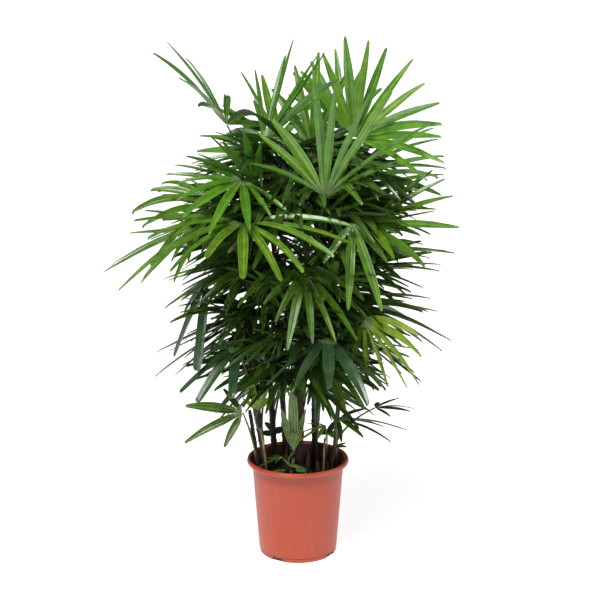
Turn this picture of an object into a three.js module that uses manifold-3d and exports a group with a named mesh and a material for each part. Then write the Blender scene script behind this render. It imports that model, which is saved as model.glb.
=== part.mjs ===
// Lady palm (Rhapis) in a plastic nursery pot. Millimetres, +Z up.
// The origin is the middle of the pot's flat underside. +X is the plant's right, -Y its front.
// A clump of thin canes carries fronds. Each frond is a petiole with a fan of narrow leaflets,
// joined round the hub. A leaflet is tried in slightly different bends until it passes clear
// of its neighbours, as growing leaves do.
import * as THREE from 'three';
import { mergeVertices } from 'three/addons/utils/BufferGeometryUtils.js';
import Module from 'manifold-3d';

const wasm = await Module();
wasm.setup();

// Driving dimensions.
const GAP = 0.3;
const POT = { height: 230, foot: 91, shoulder: 106.5, rim: 120, wall: 2.2, floor: 2.5, facets: 40 };
const FOOT_BAND = { height: 9, step: 1.1 };
const LIP = { height: 10.5, width: 7, shoulder: 5, from: 25 };
const NOTCH = { width: 28, height: 7, depth: 16, turns: [-88, -31, 57, 92, 149, -148] };
const SOIL_DEPTH = 35;
const CANE = { sides: 8, steps: 4, taper: 0.3, levelFoot: true };
const PETIOLE = {
  root: 3.4, tip: 2.4, ofCane: 0.5, sides: 3, steps: 4, drop: 190, clearOfTip: 14, clearOfSoil: 25,
  bendAt: 0.35, arch: 0.22,
};
const LEAFLET = {
  wide: 22, droop: 0.22, shorter: 0.45, keel: 0.013, throat: 0.07,
  stations: [0.34, 0.68, 1], widths: [0.95, 0.98], tip: 0.3,
};
const CLEAR = { side: 0.8, keel: 0.7, tip: 1.01, root: 1.3, stalk: 0.6 };
const HIDDEN = {
  count: 15, low: 430, step: 38, widest: 780, fall: 420, behind: 70, sweep: 78,
  reach: 60, fuller: 90, long: 190, longer: 70, rise: -35, climb: 0.14,
  rightCanes: ['backRight', 'inner'], leftCanes: ['backLeft', 'shade'],
};
const INNER = { count: 12, partner: 3, lower: 30, sweep: 130, fork: 0.25 };
// Radians round the clump from one frond to the next.
const SPIRAL = 2.4;

const COLOURS = {
  terracotta: 0xc05f4a, soil: 0x2b211c, fibre: 0x4a372b, reed: 0x3f4a2c, shoot: 0x8f9a4a,
  bright: 0x4f8f35, mid: 0x35702f, dark: 0x234f2a, blue: 0x2b5a44, young: 0x7fa23c,
};
// Leaves pale towards the light. Some young fronds are yellow-green and some old ones bluish.
const TINT = { brightAbove: 850, midAbove: 620, young: [11, 23, 25], blue: [12, 19, 20] };

const UP = new THREE.Vector3(0, 0, 1);
const soilTop = POT.height - SOIL_DEPTH;

// Canes: the foot in the soil, the point that the cane bends towards, its top and its radius.
const CANES = {
  edge: { foot: [-91, -22], bend: [-100, -22, 270], top: [-112, -18, 350], radius: 6, skin: 'fibre' },
  left: { foot: [-75, 4], bend: [-100, 16, 350], top: [-142, 30, 560], radius: 6.5, skin: 'fibre' },
  tall: { foot: [-72, -42], bend: [-104, -22, 420], top: [-124, 8, 800], radius: 6, skin: 'fibre' },
  shade: { foot: [-55, 50], bend: [-68, 50, 480], top: [-100, 62, 880], radius: 7.5, skin: 'fibre' },
  main: { foot: [-4, -20], bend: [-4, -22, 500], top: [72, -30, 830], radius: 17, skin: 'fibre' },
  inner: { foot: [42, 40], bend: [30, 44, 450], top: [62, 66, 850], radius: 7.5, skin: 'fibre' },
  right: { foot: [86, 10], bend: [92, 12, 400], top: [128, 18, 640], radius: 6.5, skin: 'reed' },
  backLeft: { foot: [-30, 84], bend: [-40, 112, 450], top: [-62, 150, 820], radius: 7, skin: 'fibre' },
  backRight: { foot: [38, 86], bend: [60, 118, 420], top: [80, 160, 760], radius: 7, skin: 'reed' },
  shootLeft: { foot: [-70, -62], bend: [-76, -62, 270], top: [-86, -62, 322], radius: 3, skin: 'shoot' },
  shootFront: { foot: [-16, -62], bend: [-14, -58, 220], top: [-10, -54, 244], radius: 5, skin: 'shoot' },
  shootRight: { foot: [60, -44], bend: [60, -43, 250], top: [62, -42, 290], radius: 3, skin: 'shoot' },
};

// Fronds that show from the front. The leaflets meet at the hub. The middle one points towards
// `aim`, turned from +X with the back at 90, and climbs by `rise`; `roll` tips the fan about it.
// The longest leaflet is the one turned by `peak` from the middle one, and the leaflets of a
// cupped fan all stand `cup` degrees above its plane.
const FRONT = [
  {
    cane: 'shade', hub: [-161, 60, 1003], aim: 150, rise: 35, roll: 15, count: 8, spread: 184, long: 301,
    shorter: 0, droop: 0.38, cup: 18,
  },
  {
    cane: 'shade', hub: [-73, -20, 972], aim: 58, rise: 58, roll: -28, count: 10, spread: 142, long: 279,
    shorter: 0, droop: 0.26, cup: 5,
  },
  { cane: 'inner', hub: [32, 70, 945], aim: 75, rise: 75, count: 9, spread: 140, long: 235 },
  {
    cane: 'main', hub: [59, -110, 865], aim: -14, rise: 20, roll: -37, count: 15, spread: 258, long: 341,
    peak: 43, shorter: 0.17, droop: 0.31, cup: 32,
  },
  {
    cane: 'inner', hub: [129, 40, 974], aim: 31, rise: 32, roll: 37, count: 12, spread: 168, long: 242,
    peak: -33, shorter: 0.03, cup: 25,
  },
  { cane: 'inner', hub: [104, 130, 985], aim: 115, rise: 60, count: 8, spread: 130, long: 240 },
  { cane: 'inner', hub: [96, 0, 800], aim: 20, rise: 30, roll: 20, count: 10, spread: 170, long: 230 },
  {
    cane: 'main', hub: [156, -60, 792], aim: -18, rise: 16, roll: 25, count: 8, spread: 116, long: 245,
    shorter: 0.1, droop: 0.17, cup: 10,
  },
  { cane: 'right', hub: [132, 40, 671], aim: 10, rise: 14, roll: 10, count: 10, spread: 130, long: 220 },
  { cane: 'right', hub: [139, 10, 595], aim: -8, rise: -4, roll: -30, count: 10, spread: 120, long: 220 },
  {
    cane: 'main', hub: [148, -90, 587], aim: -62, rise: -61, roll: 82, count: 8, spread: 160, long: 180,
    shorter: 0.1, peak: 28, droop: 0.3, cup: -18,
  },
  {
    cane: 'main', hub: [68, -90, 543], aim: -91, rise: 8, roll: -7, count: 7, spread: 167, long: 186,
    shorter: 0.16, droop: 0.27, cup: -22, wide: 32,
  },
  {
    cane: 'tall', hub: [-119, -130, 811], aim: -90, rise: -16, count: 11, spread: 170, long: 275,
    shorter: 0.1, droop: 0.27, cup: 14, tip: 0.6,
  },
  {
    cane: 'tall', hub: [-182, -40, 829], aim: 204, rise: 38, roll: -45, count: 7, spread: 130, long: 215,
    shorter: 0.1, peak: -40, droop: 0.48, cup: -20,
  },
  { cane: 'shade', hub: [-234, 20, 775], aim: 190, rise: -22, roll: -10, count: 9, spread: 150, long: 215 },
  {
    cane: 'tall', hub: [-93, -20, 871], aim: 199, rise: 22, roll: 30, count: 10, spread: 130, long: 195,
    shorter: 0.08, peak: 40, droop: 0.28, cup: 15,
  },
  { cane: 'shade', hub: [-112, 10, 813], aim: 195, rise: 12, roll: -8, count: 10, spread: 140, long: 195 },
  { cane: 'left', hub: [-128, -42, 583], aim: 190, rise: 20, count: 8, spread: 160, long: 150 },
  {
    cane: 'left', hub: [-205, 0, 668], aim: 205, rise: -72, count: 4, spread: 64, long: 220, wide: 52,
    tip: 0.75,
  },
  {
    cane: 'left', hub: [-139, -40, 511], aim: 230, rise: -30, count: 5, spread: 170, long: 170,
    wide: 34, tip: 0.6,
  },
  { cane: 'tall', hub: [-36, -80, 548], aim: 205, rise: -12, count: 8, spread: 120, long: 158 },
  {
    cane: 'edge', hub: [-127, -40, 351], aim: 190, rise: 4, roll: -60, count: 4, spread: 110,
    long: 155, wide: 40, tip: 0.6,
  },
  { cane: 'shootLeft', hub: [-91, -60, 362], aim: 100, rise: 70, count: 4, spread: 80, long: 100, drop: 50 },
  {
    cane: 'shootFront', hub: [-9, -50, 258], aim: 100, rise: 80, count: 3, spread: 32, long: 195,
    wide: 34, drop: 36,
  },
  { cane: 'shootRight', hub: [63, -40, 321], aim: 200, rise: -9, count: 4, spread: 110, long: 110, drop: 40 },
  { cane: 'right', hub: [93, -20, 329], aim: -5, rise: 5, count: 7, spread: 160, long: 160, drop: 70 },
  { cane: 'right', hub: [180, 0, 350], aim: 10, rise: 10, count: 5, spread: 120, long: 100, drop: 90 },
  { cane: 'shootFront', hub: [-36, -66, 252], aim: 190, rise: 0, count: 4, spread: 110, long: 64, drop: 32 },
  { cane: 'main', hub: [120, -100, 807], aim: -80, rise: -62, count: 4, spread: 80, long: 195 },
  { cane: 'main', hub: [14, -70, 696], aim: -65, rise: -50, count: 10, spread: 170, long: 180 },
  { cane: 'shade', hub: [-30, -20, 706], aim: -130, rise: -10, count: 11, spread: 200, long: 190 },
];

const radians = THREE.MathUtils.degToRad;

// A repeatable number from low to high for item b of group a.
function pick(low, high, a, b) {
  const wave = Math.sin(a * 12.9898 + b * 78.233) * 43758.5453;
  return low + (high - low) * (wave - Math.floor(wave));
}

// A closed solid from points and the triangles between them.
function solidOf({ points, faces }) {
  const vertProperties = new Float32Array(points.flatMap((p) => [p.x, p.y, p.z]));
  const triVerts = new Uint32Array(faces.flat());
  return new wasm.Manifold(new wasm.Mesh({ numProp: 3, vertProperties, triVerts }));
}

// A closed solid from a three.js geometry.
function solidFrom(geometry) {
  geometry.deleteAttribute('normal');
  geometry.deleteAttribute('uv');
  const merged = mergeVertices(geometry, 1e-4);
  const vertProperties = new Float32Array(merged.attributes.position.array);
  const triVerts = new Uint32Array(merged.index.array);
  return new wasm.Manifold(new wasm.Mesh({ numProp: 3, vertProperties, triVerts }));
}

// A named mesh from a solid.
function meshOf(name, solid, colour, roughness) {
  const { vertProperties, triVerts } = solid.getMesh();
  const geometry = new THREE.BufferGeometry();
  geometry.setAttribute('position', new THREE.BufferAttribute(vertProperties, 3));
  geometry.setIndex(new THREE.BufferAttribute(triVerts, 1));
  geometry.computeVertexNormals();
  const material = new THREE.MeshStandardMaterial({ color: COLOURS[colour], roughness, metalness: 0 });
  const mesh = new THREE.Mesh(geometry, material);
  mesh.name = name;
  return mesh;
}

// The faces between one ring of `size` points and the ring stored right after it.
function band(first, size) {
  const faces = [];
  for (let j = 0; j < size; j += 1) {
    const k = (j + 1) % size;
    faces.push([first + j, first + k, first + size + k], [first + j, first + size + k, first + size + j]);
  }
  return faces;
}

// A closed skin over a row of rings that all have the same number of points.
function loft(rings) {
  const size = rings[0].length;
  const last = (rings.length - 1) * size;
  const faces = [];
  for (let i = 0; i + 1 < rings.length; i += 1) faces.push(...band(i * size, size));
  for (let j = 1; j + 1 < size; j += 1) faces.push([0, j + 1, j], [last, last + j, last + j + 1]);
  return { points: rings.flat(), faces };
}

// A stem along a curve, with its radius worked out from how far along it is, from 0 to 1.
// Its foot is cut level, or else square to the curve.
function stem(curve, radiusAt, { sides, steps, levelFoot }) {
  const rings = [];
  for (let i = 0; i <= steps; i += 1) {
    const centre = curve.getPoint(i / steps);
    const ahead = levelFoot && i === 0 ? UP : curve.getTangent(i / steps);
    const east = new THREE.Vector3(1, 0, 0).addScaledVector(ahead, -ahead.x).normalize();
    const north = new THREE.Vector3().crossVectors(ahead, east);
    const radius = radiusAt(i / steps);
    rings.push(Array.from({ length: sides }, (_, j) => {
      const turn = (2 * Math.PI * j) / sides;
      return centre.clone().addScaledVector(east, radius * Math.cos(turn))
        .addScaledVector(north, radius * Math.sin(turn));
    }));
  }
  return solidOf(loft(rings));
}

// A closed round body from its outline, which starts and ends on the axis.
function turned(outline) {
  const points = outline.map(([radius, height]) => new THREE.Vector2(radius, height));
  return solidFrom(new THREE.LatheGeometry(points, POT.facets).rotateX(Math.PI / 2));
}

// The pot: a tapered bucket with a rolled lip, a foot band, and notches that let water out.
function pot() {
  const { height, foot, shoulder, rim, wall, floor } = POT;
  const inside = foot + FOOT_BAND.step - wall;
  const bucket = turned([
    [0, 0], [foot, 0], [foot, FOOT_BAND.height], [foot + FOOT_BAND.step, FOOT_BAND.height + 1],
    [shoulder, height - LIP.from], [shoulder + LIP.shoulder, height - LIP.height - 2],
    [rim - 1, height - LIP.height], [rim, height - 0.65 * LIP.height], [rim - 2.5, height],
    [rim - LIP.width, height], [rim - LIP.width - 2.4, height - 4],
    [shoulder + LIP.shoulder - wall, height - LIP.height - 1.5],
    [shoulder - wall, height - LIP.from], [inside, floor], [0, floor],
  ]);
  return NOTCH.turns.reduce((body, turn) => {
    const notch = new THREE.BoxGeometry(NOTCH.width, NOTCH.depth, 2 * NOTCH.height);
    return body.subtract(solidFrom(notch.translate(0, -foot, 0).rotateZ(radians(turn))));
  }, bucket);
}

// The root ball, which fills the pot to a little under its lip.
function soil() {
  const { height, foot, shoulder, wall, floor } = POT;
  const low = foot + FOOT_BAND.step - wall;
  const slope = (shoulder - wall - low) / (height - LIP.from - floor);
  const top = low + slope * (soilTop - floor) - 2 * GAP;
  return turned([[0, floor + GAP], [low - 2 * GAP, floor + GAP], [top, soilTop], [0, soilTop]]);
}

// The line that a cane follows from the soil to its top.
function caneLine({ foot, bend, top }) {
  const start = new THREE.Vector3(...foot, soilTop + GAP);
  return new THREE.QuadraticBezierCurve3(start, new THREE.Vector3(...bend), new THREE.Vector3(...top));
}

// A cane, thicker all round by `extra`.
function cane(spec, extra = 0) {
  return stem(caneLine(spec), (t) => spec.radius * (1 - CANE.taper * t) + extra, CANE);
}

// Fronds of the far side, spread round it from low to high. They are longest where the crown
// is widest, hang at the bottom and stand up at the top.
function hiddenFronds() {
  return Array.from({ length: HIDDEN.count }, (_, i) => {
    const height = HIDDEN.low + HIDDEN.step * i;
    const fullness = 1 - ((height - HIDDEN.widest) / HIDDEN.fall) ** 2;
    const aim = 90 + HIDDEN.sweep * Math.sin(SPIRAL * i + 0.6);
    const reach = (HIDDEN.reach + HIDDEN.fuller * fullness) * pick(0.8, 1.2, i, 51);
    const canes = aim < 90 ? HIDDEN.rightCanes : HIDDEN.leftCanes;
    return {
      cane: canes[i % 2],
      hub: [reach * Math.cos(radians(aim)), HIDDEN.behind + reach * Math.sin(radians(aim)), height],
      aim,
      rise: HIDDEN.rise + HIDDEN.climb * (height - HIDDEN.low),
      roll: pick(-25, 25, i, 52),
      count: 10,
      spread: pick(150, 230, i, 53),
      long: (HIDDEN.long + HIDDEN.longer * fullness) * pick(0.9, 1.1, i, 54),
    };
  });
}

// Fronds inside the crown. Each is a younger frond that still stands in the sheath of a hidden
// one, its partner. It forks off low on the partner's petiole, and is one piece with it.
function innerFronds() {
  return Array.from({ length: INNER.count }, (_, i) => {
    const partner = fronds[partnerOf(i)];
    const root = petioleRoot(partner);
    const aim = -90 + INNER.sweep * Math.sin(SPIRAL * i + 1);
    const reach = pick(50, 120, i, 61);
    return {
      cane: partner.cane,
      hub: [
        root.x + reach * Math.cos(radians(aim)), root.y + reach * Math.sin(radians(aim)),
        partner.hub[2] - INNER.lower,
      ],
      root: petioleLine(partner, sways[partnerOf(i)]).getPoint(INNER.fork),
      aim,
      rise: pick(-20, 40, i, 62),
      roll: pick(-30, 30, i, 63),
      count: 9,
      spread: pick(150, 220, i, 64),
      long: pick(165, 225, i, 65),
    };
  });
}

// The colour of the frond with this number.
function tintOf(frond, number) {
  if (TINT.young.includes(number)) return 'young';
  if (TINT.blue.includes(number)) return 'blue';
  if (frond.hub[2] > TINT.brightAbove) return 'bright';
  return frond.hub[2] > TINT.midAbove ? 'mid' : 'dark';
}

// The directions that a fan is built on: its middle leaflet, its left side and its upper face.
function frameOf({ aim, rise, roll = 0 }) {
  const [a, r] = [radians(aim), radians(rise)];
  const out = new THREE.Vector3(Math.cos(r) * Math.cos(a), Math.cos(r) * Math.sin(a), Math.sin(r));
  const side = new THREE.Vector3(-Math.sin(a), Math.cos(a), 0).applyAxisAngle(out, radians(roll));
  return { out, side, face: new THREE.Vector3().crossVectors(out, side) };
}

// The direction `turn` degrees round a fan, lifted off its plane by `lift` degrees.
function fanDirection({ out, side, face }, turn, lift) {
  const flat = Math.cos(radians(lift));
  return out.clone().multiplyScalar(flat * Math.cos(radians(turn)))
    .addScaledVector(side, flat * Math.sin(radians(turn)))
    .addScaledVector(face, Math.sin(radians(lift)));
}

// The angle between two leaflets of a frond.
function fanStep(frond) {
  return frond.spread / (frond.count - 1);
}

// How leaflet k grows: its direction, length, width, droop and twist, under a bend it tries.
function leafletPlan(frond, seed, k, bend) {
  const step = fanStep(frond);
  const middle = (k - (frond.count - 1) / 2) * step;
  const turn = middle + pick(-0.16, 0.16, seed, k) * step + bend.turn;
  const off = (2 * (middle - (frond.peak ?? 0))) / frond.spread;
  const outer = (frond.shorter ?? LEAFLET.shorter) * off ** 2;
  const long = frond.long * bend.long * (1 - outer) * pick(0.88, 1.06, seed, k + 20);
  const lift = (frond.cup ?? 0) + pick(-4, 8, seed, k + 40) + bend.lift;
  const direction = fanDirection(frameOf(frond), turn, lift);
  const droop = (frond.droop ?? LEAFLET.droop) * pick(0.7, 1.3, seed, k + 80);
  return {
    direction,
    long,
    wide: (frond.wide ?? LEAFLET.wide) * pick(0.85, 1.15, seed, k + 60) * Math.min(1, 0.4 + long / 400),
    fall: droop * Math.hypot(direction.x, direction.y),
    twist: pick(-26, 26, seed, k + 100),
  };
}

// A leaflet's cross-section at t: left edge, right edge, and the keel under its rib.
function leafletRing(frond, plan, t, half, keel, rise = 0) {
  const centre = new THREE.Vector3(...frond.hub).addScaledVector(plan.direction, plan.long * t)
    .addScaledVector(UP, -plan.long * plan.fall * t * t);
  const ahead = plan.direction.clone().addScaledVector(UP, -2 * plan.fall * t).normalize();
  const up = frameOf(frond).face.applyAxisAngle(plan.direction, radians(plan.twist));
  up.addScaledVector(ahead, -ahead.dot(up)).normalize();
  const across = new THREE.Vector3().crossVectors(ahead, up);
  return [
    centre.clone().addScaledVector(across, -half).addScaledVector(up, rise),
    centre.clone().addScaledVector(across, half).addScaledVector(up, rise),
    centre.clone().addScaledVector(up, -keel),
  ];
}

// How deep the keel is at t.
function keelDepth(plan, t) {
  return LEAFLET.keel * plan.long * (1 - 0.4 * t);
}

// Half a leaflet's width at its station i: most end in a narrow tip, and some in a blunt one.
function halfWidth(frond, plan, i) {
  const share = [...LEAFLET.widths, frond.tip ?? LEAFLET.tip][i];
  return (plan.wide * share) / 2;
}

// The rings of a leaflet from the first one clear of the throat to its tip.
function leafletRings(frond, plan) {
  return LEAFLET.stations.map((t, i) => (
    leafletRing(frond, plan, t, halfWidth(frond, plan, i), keelDepth(plan, t))
  ));
}

// The fold between leaflet k and the one before it, at the rim of the throat.
function foldPoint(frond, k) {
  const turn = (k - frond.count / 2) * fanStep(frond);
  const along = fanDirection(frameOf(frond), turn, (frond.cup ?? 0) + 2);
  return new THREE.Vector3(...frond.hub).addScaledVector(along, LEAFLET.throat * frond.long);
}

// Where leaflet k leaves the throat: the folds on its left and right, and its keel.
function rootRing(frond, k, plan) {
  const keel = new THREE.Vector3(...frond.hub)
    .addScaledVector(plan.direction, LEAFLET.throat * frond.long)
    .addScaledVector(frameOf(frond).face, -LEAFLET.keel * frond.long);
  return [foldPoint(frond, k + 1), foldPoint(frond, k), keel];
}

// A whole leaflet a little larger than life, to test whether its way is clear.
function leafletSpace(frond, k, plan) {
  const root = rootRing(frond, k, plan);
  const middle = root[0].clone().add(root[1]).add(root[2]).divideScalar(3);
  const rings = LEAFLET.stations.map((t, i) => leafletRing(
    frond, plan, t * CLEAR.tip, halfWidth(frond, plan, i) + CLEAR.side,
    keelDepth(plan, t) + CLEAR.keel, CLEAR.keel,
  ));
  const wider = root.map((point) => point.sub(middle).multiplyScalar(CLEAR.root).add(middle));
  return solidOf(loft([wider, ...rings]));
}

// A frond's blade: a throat round the hub that the leaflets grow out of, with a fold between
// each two. A leaflet that found no way is null, and leaves its part of the throat plain.
function blade(frond, plans) {
  const { face } = frameOf(frond);
  const hub = new THREE.Vector3(...frond.hub);
  const thick = LEAFLET.keel * frond.long;
  const points = [thick / 2, -thick].map((lift) => hub.clone().addScaledVector(face, lift));
  for (let k = 0; k <= frond.count; k += 1) points.push(foldPoint(frond, k));
  const end = 2 + frond.count;
  const faces = [[0, 1, 2], [0, end, 1]];
  plans.forEach((plan, k) => {
    const [right, left, keel] = [2 + k, 3 + k, points.length];
    faces.push([0, right, left]);
    if (!plan) {
      faces.push([1, left, right]);
      return;
    }
    points.push(rootRing(frond, k, plan)[2], ...leafletRings(frond, plan).flat());
    faces.push([1, left, keel], [1, keel, right]);
    [[left, right], [right, keel], [keel, left]].forEach(([from, to], j) => {
      const [near, far] = [keel + 1 + j, keel + 1 + ((j + 1) % 3)];
      faces.push([from, to, far], [from, far, near]);
    });
    faces.push(...band(keel + 1, 3), ...band(keel + 4, 3), [keel + 7, keel + 8, keel + 9]);
  });
  return solidOf({ points, faces });
}

// The point in the middle of its cane that a petiole grows from.
function petioleRoot(frond) {
  const along = caneLine(CANES[frond.cane]);
  const highest = along.v2.z - PETIOLE.clearOfTip;
  const lowest = soilTop + PETIOLE.clearOfSoil;
  const height = Math.max(Math.min(frond.hub[2] - (frond.drop ?? PETIOLE.drop), highest), lowest);
  const steps = 200;
  return Array.from({ length: steps + 1 }, (_, i) => along.getPoint(i / steps))
    .find((point) => point.z >= height);
}

// The line of a petiole from its cane's middle to the hub: it climbs first, then arches out.
function petioleLine(frond, sway) {
  const root = frond.root ?? petioleRoot(frond);
  const hub = new THREE.Vector3(...frond.hub);
  const span = hub.clone().sub(root);
  const bend = root.clone().addScaledVector(span, PETIOLE.bendAt)
    .addScaledVector(UP, PETIOLE.arch * span.length());
  const sideways = new THREE.Vector3(-Math.sin(radians(frond.aim)), Math.cos(radians(frond.aim)), 0);
  return new THREE.QuadraticBezierCurve3(root, bend.addScaledVector(sideways, sway), hub);
}

// A petiole, thicker all round by `extra`, cut to meet its cane with a small gap.
function petiole(frond, sway, extra) {
  const spec = CANES[frond.cane];
  const root = Math.min(PETIOLE.root, PETIOLE.ofCane * spec.radius);
  const tip = Math.min(PETIOLE.tip, root);
  const radiusAt = (t) => root + (tip - root) * t + extra;
  return stem(petioleLine(frond, sway), radiusAt, PETIOLE).subtract(cane(spec, GAP));
}

// Solids that later pieces keep clear of, each with its box for a quick first test.
const placed = [];

function remember(owner, solid) {
  placed.push({ owner, solid, box: solid.boundingBox() });
}

function boxesMeet(a, b) {
  return [0, 1, 2].every((i) => a.min[i] <= b.max[i] && b.min[i] <= a.max[i]);
}

// Whether a solid passes clear of everything placed so far by others than its owner and a partner.
function isClear(owner, solid, partner) {
  const box = solid.boundingBox();
  return placed.every((other) => {
    if ([owner, partner].includes(other.owner) || !boxesMeet(box, other.box)) return true;
    const common = solid.intersect(other.solid);
    const clear = common.isEmpty();
    common.delete();
    return clear;
  });
}

// The bends that a leaflet tries in turn: straight on, then turned, lifted, and shorter.
function leafletBends() {
  const turns = [[0, 0], [4, 0], [-4, 0], [0, 8], [0, -8], [5, 7], [-5, 7], [5, -8], [-5, -8]];
  return [1, 0.85, 0.7, 0.55].flatMap((long) => turns.map(([turn, lift]) => ({ turn, lift, long })));
}

// The least sway that leaves a petiole in one piece and clear of the rest.
function placePetiole(owner, frond, partner) {
  const throat = blade(frond, Array(frond.count).fill(null));
  for (const sway of [0, 20, -20, 40, -40, 65, -65, 95, -95, 130, -130]) {
    const space = petiole(frond, sway, CLEAR.stalk).add(throat);
    if (isClear(owner, space, partner) && space.decompose().length === 1) {
      remember(owner, space);
      return sway;
    }
  }
  throw new Error(`no way for the petiole of ${owner}`);
}

// The plans of a frond's leaflets, each in the first bend whose way is clear.
function placeLeaflets(owner, frond, seed) {
  const bends = leafletBends();
  return Array.from({ length: frond.count }, (_, k) => {
    for (const bend of bends) {
      const plan = leafletPlan(frond, seed, k, bend);
      const space = leafletSpace(frond, k, plan);
      if (isClear(owner, space)) {
        remember(owner, space);
        return plan;
      }
      space.delete();
    }
    return null;
  });
}

const palm = new THREE.Group();

const potSolid = pot();
const soilSolid = soil();
palm.add(meshOf('pot', potSolid, 'terracotta', 0.45), meshOf('soil', soilSolid, 'soil', 0.95));
remember('pot', potSolid);
remember('soil', soilSolid);

for (const [name, spec] of Object.entries(CANES)) {
  const solid = cane(spec);
  palm.add(meshOf(`cane_${name}`, solid, spec.skin, 0.8));
  remember(`cane_${name}`, solid);
}

const fronds = [...FRONT, ...hiddenFronds()];
const frondNames = fronds.map((_, i) => `frond_${String(i + 1).padStart(2, '0')}`);
const sways = fronds.map((frond, i) => placePetiole(frondNames[i], frond));
const partnerOf = (i) => FRONT.length + INNER.partner + i;
const inner = innerFronds();
const innerNames = inner.map((_, i) => `inner_${i + 1}`);
const innerSways = inner.map((frond, i) => (
  placePetiole(innerNames[i], frond, frondNames[partnerOf(i)])
));
const whole = fronds.map((frond, i) => (
  blade(frond, placeLeaflets(frondNames[i], frond, i)).add(petiole(frond, sways[i], 0))
));
inner.forEach((frond, i) => {
  const plans = placeLeaflets(innerNames[i], frond, fronds.length + i);
  const young = blade(frond, plans).add(petiole(frond, innerSways[i], 0));
  whole[partnerOf(i)] = whole[partnerOf(i)].add(young);
});
whole.forEach((solid, i) => {
  if (solid.decompose().length !== 1) throw new Error(`${frondNames[i]} is not one piece`);
  palm.add(meshOf(frondNames[i], solid, tintOf(fronds[i], i + 1), 0.5));
});

export default palm;
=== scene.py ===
# Lady palm (Rhapis) in a plastic nursery pot. Metres, +Z up, -Y the front.
# Plant sizes are worked out in millimetres, as in the part's source, and scaled as meshes are made.
import bmesh
import bpy
import math
import numpy as np
from mathutils import Matrix, Vector


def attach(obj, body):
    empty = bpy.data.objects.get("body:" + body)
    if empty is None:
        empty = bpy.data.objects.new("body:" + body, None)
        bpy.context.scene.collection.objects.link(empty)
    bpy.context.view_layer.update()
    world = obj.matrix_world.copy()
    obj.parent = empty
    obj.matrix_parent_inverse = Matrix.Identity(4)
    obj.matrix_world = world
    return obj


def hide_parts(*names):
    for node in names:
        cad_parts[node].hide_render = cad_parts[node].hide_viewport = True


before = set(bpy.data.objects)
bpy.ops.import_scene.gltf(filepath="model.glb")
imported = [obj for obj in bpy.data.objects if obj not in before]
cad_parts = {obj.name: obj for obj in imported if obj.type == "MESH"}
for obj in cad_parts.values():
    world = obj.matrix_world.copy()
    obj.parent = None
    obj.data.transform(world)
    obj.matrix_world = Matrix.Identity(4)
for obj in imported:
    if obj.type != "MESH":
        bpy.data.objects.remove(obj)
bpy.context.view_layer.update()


# Studio: a pale floor in a white room. A large soft light overhead, one at window height in front
# and to the left, and a faint one from the right gloss the leaves and leave the crown's inside dark.
FLOOR = dict(reach=300, corners=48)
LAMPS = {
    "overhead_light": dict(power=2.9, spread=26, towards=(0.24, 0.40, -1)),
    "window_light": dict(power=0.95, spread=26, towards=(0.5, 1, -0.48)),
    "side_light": dict(power=0.72, spread=30, towards=(-1, 0.2, -0.25)),
}

scene = bpy.context.scene
scene.view_settings.view_transform = "Standard"

camera_data = bpy.data.cameras.new("camera")
camera_data.sensor_width = 36
camera_data.lens = 82.26
camera_data.clip_end = 1000
camera = bpy.data.objects.new("camera", camera_data)
camera.location = (0.005, -3.061, 1.327)
camera.rotation_euler = (math.radians(76.8), 0, 0)
scene.collection.objects.link(camera)
scene.camera = camera

room = bpy.data.worlds.new("white_room")
room.use_nodes = True
room_light = room.node_tree.nodes["Background"]
room_light.inputs["Color"].default_value = (1, 1, 1, 1)
room_light.inputs["Strength"].default_value = 0.11
room_wall = room.node_tree.nodes.new("ShaderNodeBackground")
room_wall.inputs["Strength"].default_value = 1.0
seen = room.node_tree.nodes.new("ShaderNodeLightPath")
either = room.node_tree.nodes.new("ShaderNodeMixShader")
room.node_tree.links.new(seen.outputs["Is Camera Ray"], either.inputs[0])
room.node_tree.links.new(room_light.outputs[0], either.inputs[1])
room.node_tree.links.new(room_wall.outputs[0], either.inputs[2])
room.node_tree.links.new(either.outputs[0], room.node_tree.nodes["World Output"].inputs["Surface"])
scene.world = room

for name, lamp in LAMPS.items():
    light = bpy.data.lights.new(name, "SUN")
    light.angle = math.radians(lamp["spread"])
    light.energy = lamp["power"]
    stand = bpy.data.objects.new(name, light)
    stand.rotation_euler = Vector(lamp["towards"]).to_track_quat("-Z", "Y").to_euler()
    scene.collection.objects.link(stand)


class Wire:
    """A number that varies over a surface, for sums that become Math nodes."""

    def __init__(self, finish, socket):
        self.finish = finish
        self.socket = socket

    def math(self, operation, first, second):
        return self.finish.node("ShaderNodeMath", {"operation": operation}, {0: first, 1: second})

    def __add__(self, other):
        return self.math("ADD", self, other)

    def __mul__(self, other):
        return self.math("MULTIPLY", self, other)

    def __lt__(self, other):
        return self.math("LESS_THAN", self, other)

    __radd__ = __add__
    __rmul__ = __mul__


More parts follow.
